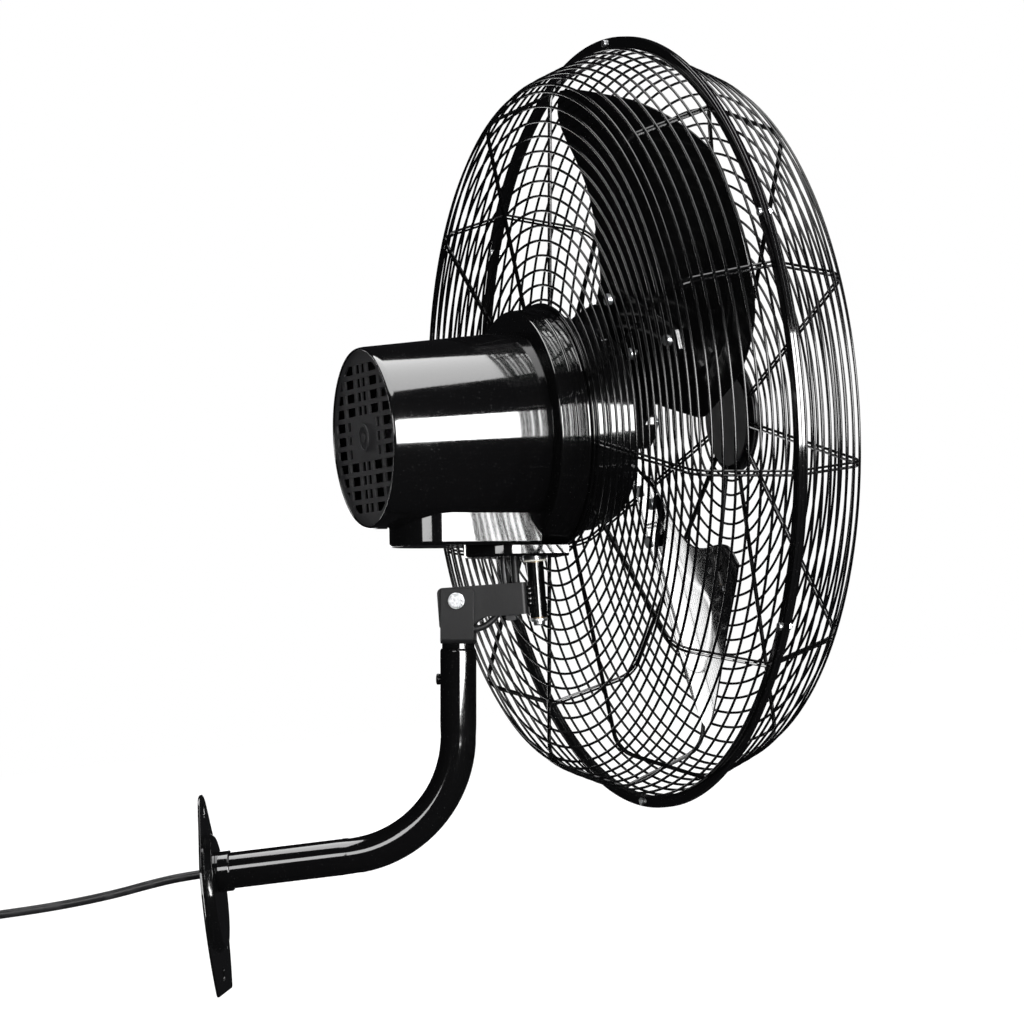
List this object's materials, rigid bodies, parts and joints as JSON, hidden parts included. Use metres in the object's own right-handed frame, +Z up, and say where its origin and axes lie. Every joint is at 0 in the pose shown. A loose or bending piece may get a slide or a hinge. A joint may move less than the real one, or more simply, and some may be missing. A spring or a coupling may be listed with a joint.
{
  "type": "wall mounted fan",
  "caption": "Oscillating wall fan: pressed wall plate, bent tube arm, tilting strap bracket and swinging head with a caged three-blade rotor.",
  "frame": {"origin": "centre of the two wall-screw slots, on the back face of the wall plate", "axes": "+Z up, -Y out of the wall towards the fan, +X to the right of someone who faces the wall; the head is stored swung 26 degrees towards +X"},
  "size_m": [0.7209, 1.0869, 0.9316],
  "materials": {
    "black_gloss": "high gloss black powder coat",
    "black_satin": "satin black paint",
    "black_wire": "semi-gloss black coated wire",
    "black_blade": "satin black painted sheet",
    "black_plastic": "fine-textured moulded plastic",
    "black_rubber": "matt rubber",
    "cord_sheath": "smooth PVC sheath",
    "zinc": "bright zinc plating",
    "steel": "plain machined steel",
    "laminations": "stacked electrical steel",
    "copper": "enamelled copper wire",
    "cast_aluminium": "die cast",
    "bronze": "sintered bronze",
    "nylon": "white nylon",
    "pin_metal": "nickel plated"
  },
  "bodies": {
    "mount": {"wall_plate": "black_gloss", "plate_collar": "black_gloss", "arm_tube": "black_gloss", "cord_grommet": "black_rubber", "supply_cord": "cord_sheath", "cord_coil": "cord_sheath", "cord_tie": "black_plastic", "plug_body": "cord_sheath", "plug_pins": "pin_metal", "arm_cable": "cord_sheath", "stem_cap": "black_gloss", "set_screw": "black_satin", "clevis": "black_satin", "tilt_bolt": "zinc", "tilt_nut": "zinc"},
    "tilt": {"tilt_arm": "black_satin", "anchor_post": "steel", "pivot_tube": "black_satin", "pivot_bushes": "bronze", "thrust_washer": "nylon", "cable_clip": "black_plastic", "clevis_cable": "cord_sheath", "head_cable": "cord_sheath"},
    "head": {"pivot_shaft": "zinc", "shaft_clip": "zinc", "gearbox_cover": "black_gloss", "oscillator_tray": "black_gloss", "cable_gland": "black_rubber", "gear_motor": "steel", "capacitor": "black_plastic", "motor_cover": "black_gloss", "rear_vent_grille": "black_plastic", "front_housing": "black_satin", "rear_end_shield": "cast_aluminium", "stator_core": "laminations", "windings": "copper", "stator_bolts": "zinc", "bearings": "steel", "guard_mount_ring": "black_satin", "mount_screws": "zinc", "rear_face_rings": "black_wire", "rear_side_rings": "black_wire", "rear_guard_ribs": "black_wire", "rear_flange": "black_gloss", "front_flange": "black_gloss", "guard_screws": "zinc", "guard_nuts": "zinc", "front_side_rings": "black_wire", "front_face_rings": "black_wire", "front_guard_ribs": "black_wire", "front_cap": "black_satin"},
    "rotor": {"motor_shaft": "steel", "rotor_core": "laminations", "hub_spider": "black_satin", "blades": "black_blade", "blade_rivets": "zinc", "hub_nut": "zinc"},
    "crank": {"crank_disc": "steel"},
    "link": {"oscillator_link": "zinc"}
  },
  "joints": [
    {"name": "head_tilt", "type": "hinge", "parent": "mount", "child": "tilt", "pos_m": [0, -0.29172, 0.26814], "axis": [1, 0, 0], "range_deg": [-23, 25], "deforming": ["clevis_cable"]},
    {"name": "head_swing", "type": "hinge", "parent": "tilt", "child": "head", "pos_m": [0, -0.38254, 0.43421], "axis": [0, -0.0523, 0.9986], "range_deg": [-66.2, 13.8], "deforming": ["head_cable"]},
    {"name": "blade_spin", "type": "hinge", "parent": "head", "child": "rotor", "pos_m": [0, -0.38254, 0.43421], "axis": [0.4415, -0.896, -0.047], "continuous": true},
    {"name": "crank_spin", "type": "hinge", "parent": "head", "child": "crank", "pos_m": [-0.03474, -0.36722, 0.43501], "axis": [0, -0.0523, 0.9986], "continuous": true},
    {"name": "link_swing", "type": "hinge", "parent": "tilt", "child": "link", "pos_m": [0, -0.35264, 0.26494], "axis": [0, -0.0523, 0.9986], "range_deg": [-66.2, 13.8]}
  ],
  "couplings": [
    {"joint": "link_swing", "follows": "head_swing", "ratio": 1}
  ]
}
